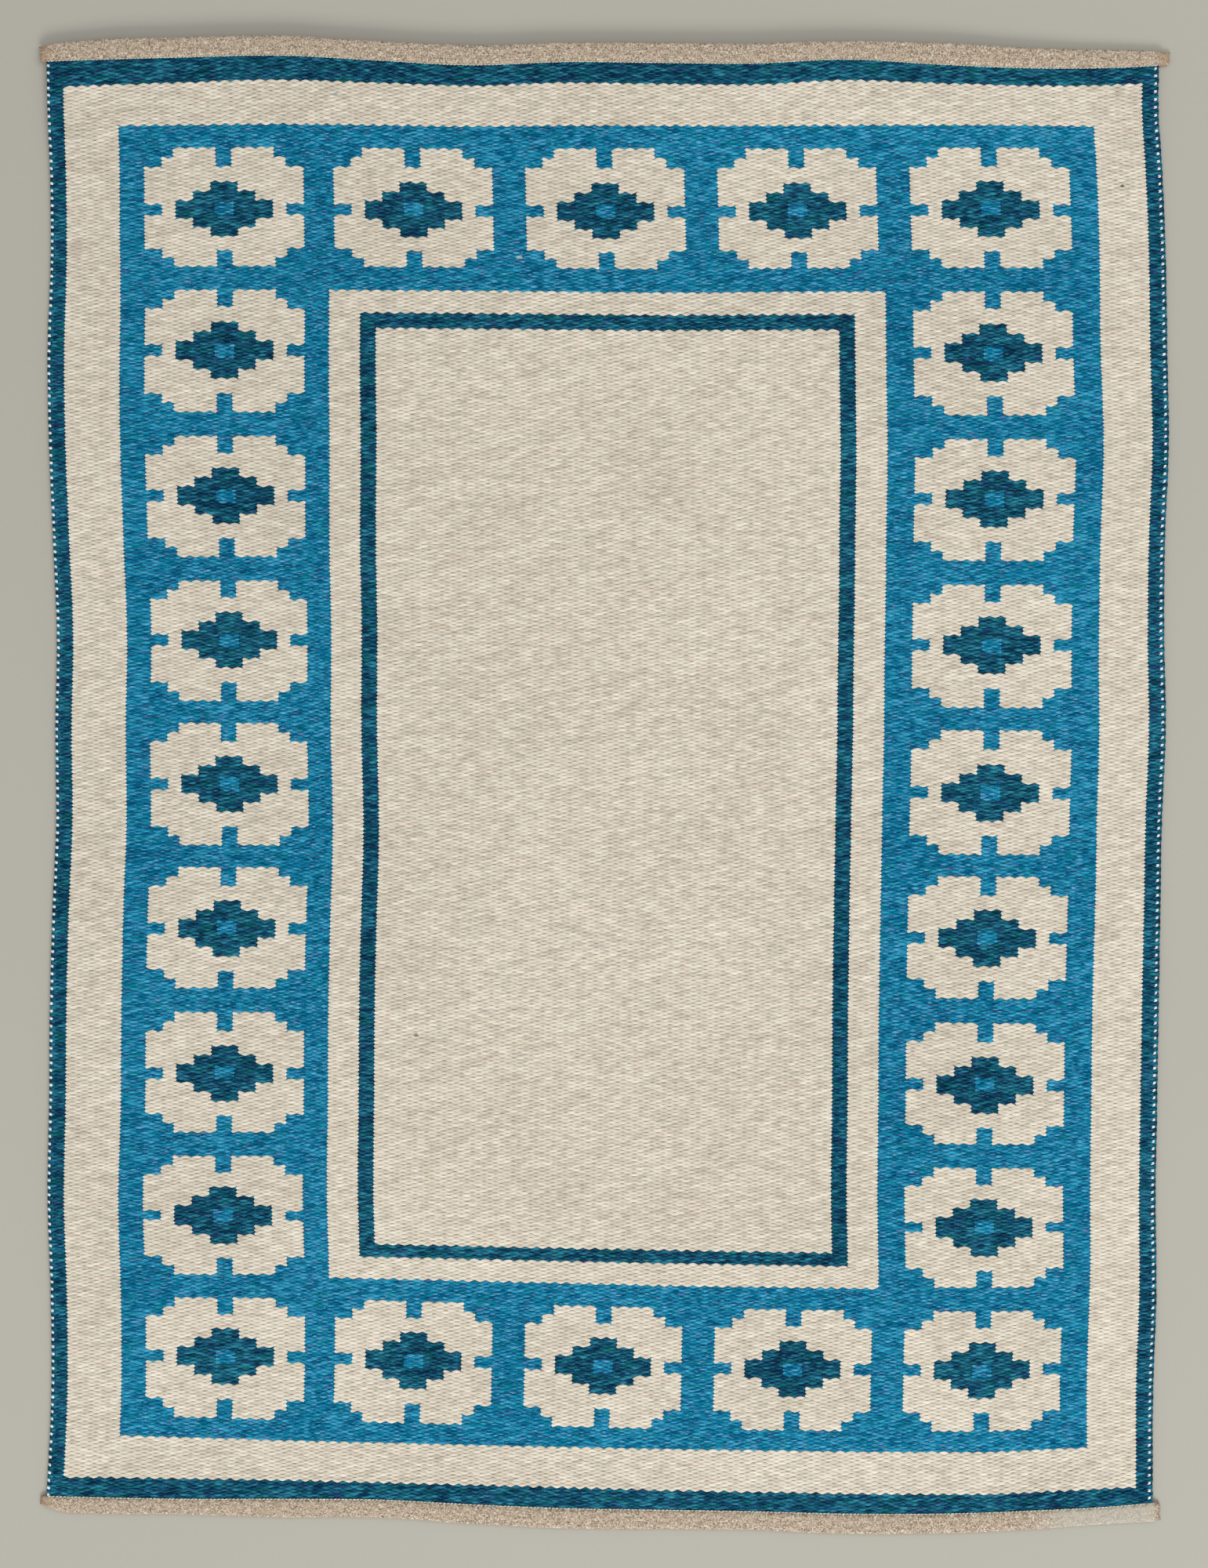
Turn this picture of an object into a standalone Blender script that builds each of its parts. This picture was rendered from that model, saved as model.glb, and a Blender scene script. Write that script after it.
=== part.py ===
# A double-sided flat-woven wool rug lying on a surface: one cloth, and a linen tape folded over each end.
# X runs across the rug along the weft, Y along its warps and Z up. The origin is under its middle,
# on the surface that it lies on.

import math

import bpy
import numpy as np

MM = 0.001
RUG = "double_sided_rug"

# Thicknesses and gaps, in millimetres
CLOTH_THICKNESS = 5.0
HEM_THICKNESS = 3.0
TAPE_THICKNESS = 1.0
CLEARANCE = 0.3
LAYERS_APART = 0.6

# How the ends of the cloth leave the surface, in millimetres
TAPE_STEP = TAPE_THICKNESS + CLEARANCE
STEP_RUN = 45.0
LIFT_RUN = 170.0
HEM_RUN = 14.0
HEM_TUCK = 0.5
PINCH_START = 1.5
PINCH_RUN = 5.0

# The two side edges drawn in and let out by the weft: place along the rug, left edge, right edge
SIDES = (
    (942.0, -711.8, 707.2),
    (852.0, -710.8, 707.2),
    (792.0, -708.8, 711.2),
    (672.0, -707.8, 716.2),
    (552.0, -711.8, 718.2),
    (432.0, -709.8, 720.0),
    (312.0, -704.8, 715.2),
    (192.0, -699.8, 714.2),
    (72.0, -701.8, 716.2),
    (-48.0, -700.8, 711.2),
    (-168.0, -705.8, 709.2),
    (-288.0, -708.8, 707.2),
    (-408.0, -709.8, 705.2),
    (-528.0, -711.8, 703.2),
    (-648.0, -707.8, 704.2),
    (-768.0, -706.8, 700.2),
    (-908.0, -712.8, 699.2),
)

# The tape at the far end: place across, fold edge, sewn edge on the cloth, rise of the end off the surface
FAR_END = (
    (-720.0, 943.0, 922.0, 5.0),
    (-692.0, 947.0, 923.0, 6.0),
    (-652.0, 950.0, 924.0, 7.0),
    (-532.0, 953.0, 927.0, 8.5),
    (-412.0, 955.0, 929.0, 9.0),
    (-292.0, 948.0, 923.0, 8.5),
    (-172.0, 943.0, 917.0, 8.0),
    (-52.0, 946.0, 921.0, 8.0),
    (68.0, 946.0, 920.0, 8.0),
    (188.0, 945.0, 919.0, 8.5),
    (308.0, 948.0, 924.0, 8.5),
    (428.0, 946.0, 918.0, 7.0),
    (548.0, 940.0, 914.0, 4.5),
    (668.0, 938.0, 916.0, 2.0),
    (720.0, 937.0, 919.0, 1.0),
)

# The tape at the near end: the same columns
NEAR_END = (
    (-720.0, -918.0, -906.0, 0.0),
    (-692.0, -927.0, -907.0, 0.0),
    (-652.0, -929.0, -908.0, 0.0),
    (-532.0, -930.0, -910.0, 0.0),
    (-412.0, -934.0, -910.0, 0.0),
    (-292.0, -934.0, -911.0, 0.0),
    (-172.0, -942.0, -917.0, 0.0),
    (-52.0, -948.0, -922.0, 0.0),
    (68.0, -949.0, -924.0, 0.0),
    (188.0, -950.0, -926.0, 0.0),
    (308.0, -955.0, -929.0, 0.0),
    (428.0, -954.5, -929.0, 0.0),
    (548.0, -949.0, -925.0, 0.0),
    (668.0, -941.0, -918.0, 0.0),
    (708.0, -939.0, -914.0, 0.0),
)

# Grid cells of each sheet, and the rows near each end by their distance inward from the sewn edge
CELLS_ACROSS = 20
MIDDLE_CELLS = 14
END_ROWS = (0.0, 7.0, 14.0, 26.0, 45.0, 80.0, 125.0, 184.0)
FOLD_CELLS = 4

COLOURS = {
    "cloth": ((0.02, 0.20, 0.33), 0.95),
    "tape": ((0.39, 0.31, 0.23), 0.95),
}


def smoothstep(value):
    """A soft step from 0 to 1."""
    t = min(max(value, 0.0), 1.0)
    return t * t * (3.0 - 2.0 * t)


def through(stations, column, at):
    """The smooth curve through one column of a table, read at a place in its first column."""
    rows = sorted(stations)
    place = [row[0] for row in rows]
    level = [row[column] for row in rows]
    slopes = np.gradient(level, place)
    at = min(max(at, place[0]), place[-1])
    i = min(int(np.searchsorted(place, at, side="right")) - 1, len(rows) - 2)
    span = place[i + 1] - place[i]
    t = (at - place[i]) / span
    bend_in = (t - 2.0 * t ** 2 + t ** 3) * span * slopes[i]
    bend_out = (t ** 3 - t ** 2) * span * slopes[i + 1]
    blend = 3.0 * t ** 2 - 2.0 * t ** 3
    return level[i] * (1.0 - blend) + level[i + 1] * blend + bend_in + bend_out


def side_edge(column, y):
    """The cloth's left edge (column 1) or right edge (column 2) at a place along the rug."""
    return through(SIDES, column, y)


def fold_edge(end, x):
    """The outside of a tape's fold, along the rug, at a place across it."""
    return through(end, 1, x)


def sewn_edge(end, x):
    """The edge where a tape is sewn down on the cloth, along the rug, at a place across it."""
    return through(end, 2, x)


def rise(end, x):
    """How high an end lies off the surface, at a place across it."""
    return through(end, 3, x)


def underside(x, y):
    """Height of the cloth's lower face: flat on the surface, eased up over the tapes and at the far end."""
    end = FAR_END if y > 0.0 else NEAR_END
    inward = abs(sewn_edge(end, x)) - abs(y)
    over_tape = TAPE_STEP * smoothstep(1.0 - inward / STEP_RUN)
    lifted = rise(end, x) * smoothstep(1.0 - (inward - HEM_RUN) / LIFT_RUN)
    return over_tape + lifted


def hem_share(x, y):
    """How far the cloth is beaten flat at a place: 0 in the rug, 1 inside the tape."""
    end = FAR_END if y > 0.0 else NEAR_END
    inward = abs(sewn_edge(end, x)) - abs(y)
    return smoothstep(1.0 - inward / HEM_RUN)


def fold_radius(pinch):
    """Half the gap inside the folded tape, which closes where it runs out past the cloth."""
    around_cloth = HEM_THICKNESS / 2.0 + CLEARANCE
    return around_cloth + (LAYERS_APART / 2.0 - around_cloth) * pinch


def fold_centre(end, x):
    """Place along the rug of the axis that the tape folds about."""
    outward = math.copysign(1.0, end[0][1])
    return fold_edge(end, x) - outward * (fold_radius(0.0) + TAPE_THICKNESS)


def across(share, y):
    """A place across the cloth, from its share of the way between the side edges."""
    return side_edge(1, y) * (1.0 - share) + side_edge(2, y) * share


def end_row(end, row, x):
    """Place along the rug of one row of points near an end: row 0 is inside the fold, row 1 is sewn."""
    outward = math.copysign(1.0, end[0][1])
    if row == 0:
        return fold_centre(end, x) - outward * HEM_TUCK
    return sewn_edge(end, x) - outward * END_ROWS[row - 1]


def cloth_point(column, row):
    """A point of the cloth's lower face, from its place in the grid."""
    last = len(END_ROWS)
    row_back = 2 * last + MIDDLE_CELLS - row
    end = NEAR_END if row < row_back else FAR_END
    x = across(column / CELLS_ACROSS, sewn_edge(end, 0.0))
    if min(row, row_back) <= last:
        y = end_row(end, min(row, row_back), x)
    else:
        share = (row - last) / MIDDLE_CELLS
        y = end_row(NEAR_END, last, x) * (1.0 - share) + end_row(FAR_END, last, x) * share
    x = across(column / CELLS_ACROSS, y)
    return x, y, underside(x, y)


def tape_columns(end):
    """Places across the rug where a tape's section is set: its two ends, and the cloth's columns between."""
    y = sewn_edge(end, 0.0)
    over_cloth = [across(i / CELLS_ACROSS, y) for i in range(CELLS_ACROSS + 1)]
    left, right = over_cloth[0], over_cloth[-1]
    past_left = [left - PINCH_START - PINCH_RUN, left - PINCH_START]
    past_right = [right + PINCH_START, right + PINCH_START + PINCH_RUN]
    return [end[0][0]] + past_left + over_cloth + past_right + [end[-1][0]]


def tape_point(end, x, step):
    """A point on the tape's cloth side: its sewn edge, the steps over the fold, and the edge underneath."""
    outward = math.copysign(1.0, end[0][1])
    y_sewn = sewn_edge(end, x)
    past_cloth = max(side_edge(1, y_sewn) - x, x - side_edge(2, y_sewn))
    pinch = smoothstep((past_cloth - PINCH_START) / PINCH_RUN)
    radius = fold_radius(pinch)
    angle = math.pi * (0.5 - (step - 1) / FOLD_CELLS)
    if step in (0, FOLD_CELLS + 2):
        y = y_sewn
        angle = math.pi / 2.0 if step == 0 else -math.pi / 2.0
    else:
        y = fold_centre(end, x) + outward * radius * math.cos(angle)
    middle = underside(x, y_sewn) - CLEARANCE + radius
    return x, y, middle + radius * math.sin(angle)


def add_material(name):
    colour, roughness = COLOURS[name]
    material = bpy.data.materials.new(name)
    material.use_nodes = True
    shader = material.node_tree.nodes["Principled BSDF"]
    shader.inputs["Base Color"].default_value = (*colour, 1.0)
    shader.inputs["Roughness"].default_value = roughness
    shader.inputs["Metallic"].default_value = 0.0
    material.diffuse_color = (*colour, 1.0)
    return material


def add_grid(name, cells_across, cells_along, place, material, collection):
    """An open grid whose points a function places in millimetres, from their column and row."""
    bpy.ops.mesh.primitive_grid_add(x_subdivisions=cells_across, y_subdivisions=cells_along, size=1.0)
    sheet = bpy.context.object
    sheet.name = name
    for vertex in sheet.data.vertices:
        column = round((vertex.co.x + 0.5) * cells_across)
        row = round((vertex.co.y + 0.5) * cells_along)
        vertex.co = [value * MM for value in place(column, row)]
    sheet.data.materials.append(material)
    sheet.data.shade_smooth()
    for owner in list(sheet.users_collection):
        owner.objects.unlink(sheet)
    collection.objects.link(sheet)
    return sheet


def thicken(sheet, thickness, side):
    """Gives an open sheet its thickness, on the side that its normals face (1) or the other one (-1)."""
    solidify = sheet.modifiers.new("thickness", "SOLIDIFY")
    solidify.thickness = thickness * MM
    solidify.offset = side
    solidify.use_rim = True
    return solidify


def build_cloth(collection):
    """The woven cloth: its lower face is set out, and the thickness goes on upwards, thinner in the hems."""
    cells_along = 2 * len(END_ROWS) + MIDDLE_CELLS
    cloth = add_grid("woven_cloth", CELLS_ACROSS, cells_along, cloth_point, add_material("cloth"), collection)
    body = cloth.vertex_groups.new(name="full_thickness")
    for vertex in cloth.data.vertices:
        share = hem_share(vertex.co.x / MM, vertex.co.y / MM)
        body.add([vertex.index], 1.0 - share, "REPLACE")
    solidify = thicken(cloth, CLOTH_THICKNESS, 1.0)
    solidify.vertex_group = body.name
    solidify.thickness_vertex_group = HEM_THICKNESS / CLOTH_THICKNESS


def build_tape(name, end, side, material, collection):
    """A linen tape folded over one end of the cloth, and pressed flat where it runs out past the edges."""
    columns = tape_columns(end)

    def place(column, step):
        return tape_point(end, columns[column], step)

    tape = add_grid(name, len(columns) - 1, FOLD_CELLS + 2, place, material, collection)
    thicken(tape, TAPE_THICKNESS, side)


def main():
    for leftover in list(bpy.data.objects):
        bpy.data.objects.remove(leftover, do_unlink=True)
    collection = bpy.data.collections.new(RUG)
    bpy.context.scene.collection.children.link(collection)
    build_cloth(collection)
    linen = add_material("tape")
    build_tape("binding_tape_far", FAR_END, 1.0, linen, collection)
    build_tape("binding_tape_near", NEAR_END, -1.0, linen, collection)


main()
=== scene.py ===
# A double-sided flat-woven wool rug lying on a pale floor, seen from straight above.
# X runs across the rug along the weft, Y along its warps and Z up, in metres.

import math

import bpy
import numpy as np
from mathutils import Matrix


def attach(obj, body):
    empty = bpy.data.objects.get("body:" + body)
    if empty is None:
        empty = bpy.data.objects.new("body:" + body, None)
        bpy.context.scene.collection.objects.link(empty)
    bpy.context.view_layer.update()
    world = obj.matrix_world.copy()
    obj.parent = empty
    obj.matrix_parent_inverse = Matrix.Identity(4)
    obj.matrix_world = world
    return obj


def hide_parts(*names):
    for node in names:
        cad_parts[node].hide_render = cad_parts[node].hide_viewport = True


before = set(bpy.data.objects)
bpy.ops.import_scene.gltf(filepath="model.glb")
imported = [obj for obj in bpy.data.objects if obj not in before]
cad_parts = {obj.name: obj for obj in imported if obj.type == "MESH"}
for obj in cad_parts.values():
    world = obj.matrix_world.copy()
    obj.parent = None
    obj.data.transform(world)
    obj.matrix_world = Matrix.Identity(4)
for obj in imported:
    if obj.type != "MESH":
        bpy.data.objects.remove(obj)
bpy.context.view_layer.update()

# The camera hangs over the middle of the rug and looks straight down. Its lens takes in a frame
# 2 metres high at the cloth, a little more than the rug all round.
LENS_MM = 60.0
SENSOR_MM = 36.0
FRAME_HEIGHT = 2.0
CLOTH_LEVEL = 0.005
VIEW_CENTRE = (-0.00125, 0.002)

camera_data = bpy.data.cameras.new("camera")
camera_data.lens = LENS_MM
camera_data.sensor_width = SENSOR_MM
camera_height = CLOTH_LEVEL + FRAME_HEIGHT * LENS_MM / SENSOR_MM
camera = bpy.data.objects.new("camera", camera_data)
camera.location = (*VIEW_CENTRE, camera_height)
bpy.context.scene.collection.objects.link(camera)
bpy.context.scene.camera = camera
bpy.context.scene.view_settings.view_transform = "Standard"


# The ground of the cloth: the stiff warps and the inner turns of the weft, which show only between the
# stitches of the two faces, coloured near black as painted shade in those gaps. It is one thin closed sheet
# that carries the rug's outline, the beaten hems at its ends and the end that lies off the floor.
MM = 0.001
CLOTH_MM = 5.0
HEM_MM = 3.0
TAPE_MM = 1.0
CLEARANCE_MM = 0.3
LAYERS_APART_MM = 0.6
STEP_RUN_MM = 45.0
LIFT_RUN_MM = 170.0
HEM_RUN_MM = 14.0
PINCH_START_MM = 1.5
PINCH_RUN_MM = 5.0
GROUND_COLUMNS = 60
GROUND_ROWS = 120
GROUND_LEVELS = (0.36, 0.64)
GROUND_INSET_MM = 2.2
GROUND_SHORT_MM = 0.6
# Near black: painted shade for the dark gaps between the floats.
GROUND_SHADE_COLOUR = (0.012, 0.02, 0.025, 1.0)

# Place along the rug, left edge, right edge
SIDES = (
    (942.0, -711.8, 707.2),
    (852.0, -710.8, 707.2),
    (792.0, -708.8, 711.2),
    (672.0, -707.8, 716.2),
    (552.0, -711.8, 718.2),
    (432.0, -709.8, 720.0),
    (312.0, -704.8, 715.2),
    (192.0, -699.8, 714.2),
    (72.0, -701.8, 716.2),
    (-48.0, -700.8, 711.2),
    (-168.0, -705.8, 709.2),
    (-288.0, -708.8, 707.2),
    (-408.0, -709.8, 705.2),
    (-528.0, -711.8, 703.2),
    (-648.0, -707.8, 704.2),
    (-768.0, -706.8, 700.2),
    (-908.0, -712.8, 699.2),
)

# Place across, the tape's fold edge, its sewn edge on the cloth, rise of the end off the floor
FAR_END = (
    (-720.0, 943.0, 922.0, 5.0),
    (-692.0, 947.0, 923.0, 6.0),
    (-652.0, 950.0, 924.0, 7.0),
    (-532.0, 953.0, 927.0, 8.5),
    (-412.0, 955.0, 929.0, 9.0),
    (-292.0, 948.0, 923.0, 8.5),
    (-172.0, 943.0, 917.0, 8.0),
    (-52.0, 946.0, 921.0, 8.0),
    (68.0, 946.0, 920.0, 8.0),
    (188.0, 945.0, 919.0, 8.5),
    (308.0, 948.0, 924.0, 8.5),
    (428.0, 946.0, 918.0, 7.0),
    (548.0, 940.0, 914.0, 4.5),
    (668.0, 938.0, 916.0, 2.0),
    (720.0, 937.0, 919.0, 1.0),
)
NEAR_END = (
    (-720.0, -918.0, -906.0, 0.0),
    (-692.0, -927.0, -907.0, 0.0),
    (-652.0, -929.0, -908.0, 0.0),
    (-532.0, -930.0, -910.0, 0.0),
    (-412.0, -934.0, -910.0, 0.0),
    (-292.0, -934.0, -911.0, 0.0),
    (-172.0, -942.0, -917.0, 0.0),
    (-52.0, -948.0, -922.0, 0.0),
    (68.0, -949.0, -924.0, 0.0),
    (188.0, -950.0, -926.0, 0.0),
    (308.0, -955.0, -929.0, 0.0),
    (428.0, -954.5, -929.0, 0.0),
    (548.0, -949.0, -925.0, 0.0),
    (668.0, -941.0, -918.0, 0.0),
    (708.0, -939.0, -914.0, 0.0),
)


def soft_step(value):
    t = np.clip(value, 0.0, 1.0)
    return t * t * (3.0 - 2.0 * t)


def through(table, column, at):
    """The smooth curve through one column of a table, read at places in its first column."""
    rows = sorted(table)
    place = np.array([row[0] for row in rows])
    level = np.array([row[column] for row in rows])
    slope = np.gradient(level, place)
    at = np.clip(at, place[0], place[-1])
    i = np.clip(np.searchsorted(place, at, side="right") - 1, 0, len(rows) - 2)
    span = place[i + 1] - place[i]
    t = (at - place[i]) / span
    blend = 3.0 * t ** 2 - 2.0 * t ** 3
    bend = (t - 2.0 * t ** 2 + t ** 3) * slope[i] + (t ** 3 - t ** 2) * slope[i + 1]
    return level[i] * (1.0 - blend) + level[i + 1] * blend + bend * span


def inward(x, y):
    """How far a place on the cloth lies inward from the sewn edge of the nearer tape."""
    return np.where(y > 0.0, through(FAR_END, 2, x) - y, y - through(NEAR_END, 2, x))


def underside(x, y):
    """Height of the cloth's lower face: on the floor, eased up over the tapes and at the far end."""
    distance = inward(x, y)
    over_tape = (TAPE_MM + CLEARANCE_MM) * soft_step(1.0 - distance / STEP_RUN_MM)
    rise = np.where(y > 0.0, through(FAR_END, 3, x), 0.0)
    return over_tape + rise * soft_step(1.0 - (distance - HEM_RUN_MM) / LIFT_RUN_MM)


def hem_share(x, y):
    """How far the cloth is beaten flat: 0 in the rug, 1 inside the tape."""
    return soft_step(1.0 - inward(x, y) / HEM_RUN_MM)


def cloth_thickness(x, y):
    return CLOTH_MM + (HEM_MM - CLOTH_MM) * hem_share(x, y)


def add_mesh(name, points, faces, maps=None, smooth=True):
    """A piece from points in millimetres, triangles or quads, and its maps, a row for each corner."""
    faces = np.asarray(faces, dtype=np.int32)
    mesh = bpy.data.meshes.new(name)
    mesh.vertices.add(len(points))
    mesh.vertices.foreach_set("co", (np.asarray(points, dtype=np.float64) * MM).ravel())
    mesh.loops.add(faces.size)
    mesh.loops.foreach_set("vertex_index", faces.ravel())
    mesh.polygons.add(len(faces))
    mesh.polygons.foreach_set("loop_start", np.arange(0, faces.size, faces.shape[1], dtype=np.int32))
    mesh.update(calc_edges=True)
    for key, values in (maps or {}).items():
        layer = mesh.uv_layers.new(name=key)
        layer.data.foreach_set("uv", np.asarray(values, dtype=np.float32).ravel())
    mesh.polygons.foreach_set("use_smooth", np.full(len(faces), smooth))
    piece = bpy.data.objects.new(name, mesh)
    bpy.context.scene.collection.objects.link(piece)
    return piece


def grid_faces(columns, rows, start=0):
    """Quads of a grid of points that run along its columns first."""
    column, row = np.meshgrid(np.arange(columns - 1), np.arange(rows - 1))
    corner = (row * columns + column).ravel() + start
    return np.stack([corner, corner + 1, corner + columns + 1, corner + columns], axis=1)


def shell_faces(columns, rows):
    """Quads of a closed sheet: a lower grid, an upper grid after it, and the rim that joins them."""
    count = columns * rows
    lower = grid_faces(columns, rows)[:, ::-1]
    upper = grid_faces(columns, rows, count)
    first = np.arange(columns)
    last = first + columns * (rows - 1)
    left = np.arange(rows) * columns
    rim = np.concatenate([first, left[1:] + columns - 1, last[-2::-1], left[-2:0:-1]])
    following = np.roll(rim, -1)
    walls = np.stack([rim, following, following + count, rim + count], axis=1)
    return np.concatenate([lower, upper, walls])


class Number:
    """One socket of a finish's nodes that takes part in arithmetic."""

    def __init__(self, finish, socket):
        self.finish = finish
        self.socket = socket

    def math(self, operation, *others):
        sockets = dict(enumerate((self, *others)))
        return self.finish.node("ShaderNodeMath", {"operation": operation}, sockets)

    def __add__(self, other):
        return self.math("ADD", other)

    def __mul__(self, other):
        return self.math("MULTIPLY", other)

    def __sub__(self, other):
        return self.math("SUBTRACT", other)

    def __rsub__(self, other):
        return self.finish.node("ShaderNodeMath", {"operation": "SUBTRACT"}, {0: other, 1: self})

    def __truediv__(self, other):
        return self.math("DIVIDE", other)

    __radd__ = __add__
    __rmul__ = __mul__

    def limited(self):
        return self.math("MINIMUM", 1.0).math("MAXIMUM", 0.0)

    def between(self, low, high):
        """0 below low, 1 above high and a soft step between; the other way round where low is higher."""
        settings = {"interpolation_type": "SMOOTHSTEP"}
        if low < high:
            sockets = {"Value": self, "From Min": low, "From Max": high, "To Min": 0.0, "To Max": 1.0}
        else:
            sockets = {"Value": self, "From Min": high, "From Max": low, "To Min": 1.0, "To Max": 0.0}
        return self.finish.node("ShaderNodeMapRange", settings, sockets)


class Finish:
    """A procedural material in the making."""

    def __init__(self, name):
        self.material = bpy.data.materials.new(name)
        self.material.use_nodes = True
        self.tree = self.material.node_tree
        self.shader = self.tree.nodes["Principled BSDF"]

    def node(self, kind, settings=None, sockets=None, output=0):
        """Adds a node: its settings, then its sockets by name or place, then the wrapped output."""
        made = self.tree.nodes.new(kind)
        for key, value in (settings or {}).items():
            if key == "stops":
                self.set_stops(made.color_ramp, value)
            else:
                setattr(made, key, value)
        for key, value in (sockets or {}).items():
            if isinstance(value, Number):
                self.tree.links.new(value.socket, made.inputs[key])
            else:
                made.inputs[key].default_value = value
        return Number(self, made.outputs[output])

    @staticmethod
    def set_stops(ramp, stops):
        while len(ramp.elements) < len(stops):
            ramp.elements.new(0.5)
        for element, (position, colour) in zip(ramp.elements, stops):
            element.position = position
            element.color = (*colour, 1.0)

    def parts(self, vector):
        """The X, Y and Z of a vector."""
        first = self.node("ShaderNodeSeparateXYZ", {}, {0: vector})
        outputs = first.socket.node.outputs
        return [Number(self, socket) for socket in outputs]

    def noise(self, x, y, z=0.0, detail=2.0, roughness=0.5):
        """Soft noise about 0.5, whose lumps are one unit across."""
        place = self.node("ShaderNodeCombineXYZ", {}, {0: x, 1: y, 2: z})
        sockets = {"Vector": place, "Scale": 1.0, "Detail": detail, "Roughness": roughness}
        return self.node("ShaderNodeTexNoise", {}, sockets)

    def mix(self, share, one, other, blend="MIX"):
        """One colour passing into the other."""
        settings = {"data_type": "RGBA", "blend_type": blend}
        return self.node("ShaderNodeMix", settings, {0: share, 6: one, 7: other}, output=2)

    def ramp(self, value, stops):
        return self.node("ShaderNodeValToRGB", {"stops": stops}, {0: value})

    def feed(self, **sockets):
        """Sets or links the shader's sockets, named with underscores for spaces."""
        for key, value in sockets.items():
            socket = self.shader.inputs[key.replace("_", " ")]
            if isinstance(value, Number):
                self.tree.links.new(value.socket, socket)
            else:
                socket.default_value = value


def ground_finish():
    finish = Finish("warp_ground_painted_shade")
    x, y, _ = finish.parts(finish.node("ShaderNodeTexCoord", {}, {}, output="Object"))
    strand = finish.noise(x * 90.0, y * 900.0)
    # The ground's near-black colour is painted shade for the gaps between the floats.
    colour = finish.mix(strand.between(0.35, 0.7), GROUND_SHADE_COLOUR, (0.03, 0.045, 0.05, 1.0))
    bump = finish.node("ShaderNodeBump", {}, {"Strength": 0.5, "Distance": 0.0004, "Height": strand})
    finish.feed(Base_Color=colour, Roughness=0.95, Specular_IOR_Level=0.1, Normal=bump)
    return finish.material


share_across = np.linspace(0.0, 1.0, GROUND_COLUMNS)
fold_gap = HEM_MM / 2.0 + CLEARANCE_MM + TAPE_MM
share_along = np.linspace(0.0, 1.0, GROUND_ROWS)
flat_x = through(SIDES, 1, 0.0) * (1.0 - share_across) + through(SIDES, 2, 0.0) * share_across
ground_near = through(NEAR_END, 1, flat_x) + fold_gap + GROUND_SHORT_MM
ground_far = through(FAR_END, 1, flat_x) - fold_gap - GROUND_SHORT_MM
ground_y = ground_near[None, :] * (1.0 - share_along[:, None]) + ground_far[None, :] * share_along[:, None]
ground_left = through(SIDES, 1, ground_y) + GROUND_INSET_MM
ground_right = through(SIDES, 2, ground_y) - GROUND_INSET_MM
ground_x = ground_left * (1.0 - share_across[None, :]) + ground_right * share_across[None, :]
ground_layers = []
for level in GROUND_LEVELS:
    height = underside(ground_x, ground_y) + cloth_thickness(ground_x, ground_y) * level
    ground_layers.append(np.stack([ground_x, ground_y, height], axis=2).reshape(-1, 3))
ground = add_mesh("cloth_ground", np.concatenate(ground_layers), shell_faces(GROUND_COLUMNS, GROUND_ROWS))
ground.data.materials.append(ground_finish())
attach(ground, "root")
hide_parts("woven_cloth")


# The face of the cloth: wool weft that floats over two warps and passes under the third, each row
# half a float on from the row before, beaten down so hard that no warp shows. Cream, blue and navy
# yarns lie side by side along the counted lines of a stepped figure.
WARPS = 191
PICKS = 786
PICKS_UNDER_TAPE = 4
PICK_MM = 2.37
WARP_MM = 7.42
FIRST_PICK_MM = 920.0
EDGE_TURN_MM = 1.6
CREAM, BLUE, NAVY = range(3)
RELIEF_MM = 1.3
HEM_RELIEF_MM = 0.5
RIDGE_REACH = 0.46
TOOTH_REACH = 0.26
TIP_SHARE = 0.25
SEAM_SHARE = 0.45
PLAIN_SEAM_SHARE = 0.85
YARN_REACH = 0.45
LOOSE_WARPS = 0.05
LOOSE_PICKS = 0.16
LOOSE_HEIGHT_MM = 0.22
MARGIN = 1.5
FOLDS_IN_MAP = 2

# How far the counted lines run off the straight, in millimetres. Each pick's line moves towards the near
# end by a row of PICK_SHIFT at the places across in SHIFT_PLACES, and each warp to the right by a row of
# WARP_SHIFT, which starts with its place along the rug, at the warps in SHIFT_WARPS.
SHIFT_PLACES = (-652.0, -412.0, -172.0, 68.0, 308.0, 488.0, 668.0)
PICK_SHIFT = (
    (12.0, 0.0, -2.0, 1.0, 0.0, 0.0, -2.0, -1.0),
    (34.0, 0.0, -1.5, 0.7, 0.0, 0.5, -1.5, 0.0),
    (78.0, 0.0, -2.0, 1.0, 2.0, 1.0, -1.5, 1.0),
    (124.0, -5.0, -5.5, -4.0, -1.5, -3.0, -3.0, -2.0),
    (156.0, -4.0, -4.0, -2.0, 0.0, -1.0, -0.5, 0.0),
    (234.0, -3.5, -3.5, -1.0, 0.0, 0.0, 1.0, 1.0),
    (312.0, -4.5, -4.0, -1.0, 0.0, 1.5, 2.5, 2.5),
    (389.0, -5.5, -5.0, -1.5, 1.0, 4.0, 6.5, 7.0),
    (467.0, -6.0, -5.5, -2.0, 1.5, 5.0, 7.0, 8.0),
    (545.0, -6.0, -5.5, -2.0, 2.0, 6.0, 10.0, 10.0),
    (637.0, -9.5, -8.5, -3.0, 2.0, 6.0, 7.5, 5.0),
    (701.0, -14.0, -11.5, -5.0, 2.5, 5.0, 6.5, 0.5),
    (745.0, -16.0, -9.0, -3.0, 2.0, 5.5, 6.0, -2.0),
    (766.0, -14.0, -10.5, -4.5, 2.5, 7.0, 8.0, -1.0),
)
SHIFT_WARPS = (0.0, 12.0, 52.0, 137.0, 184.0, 191.0)
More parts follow.
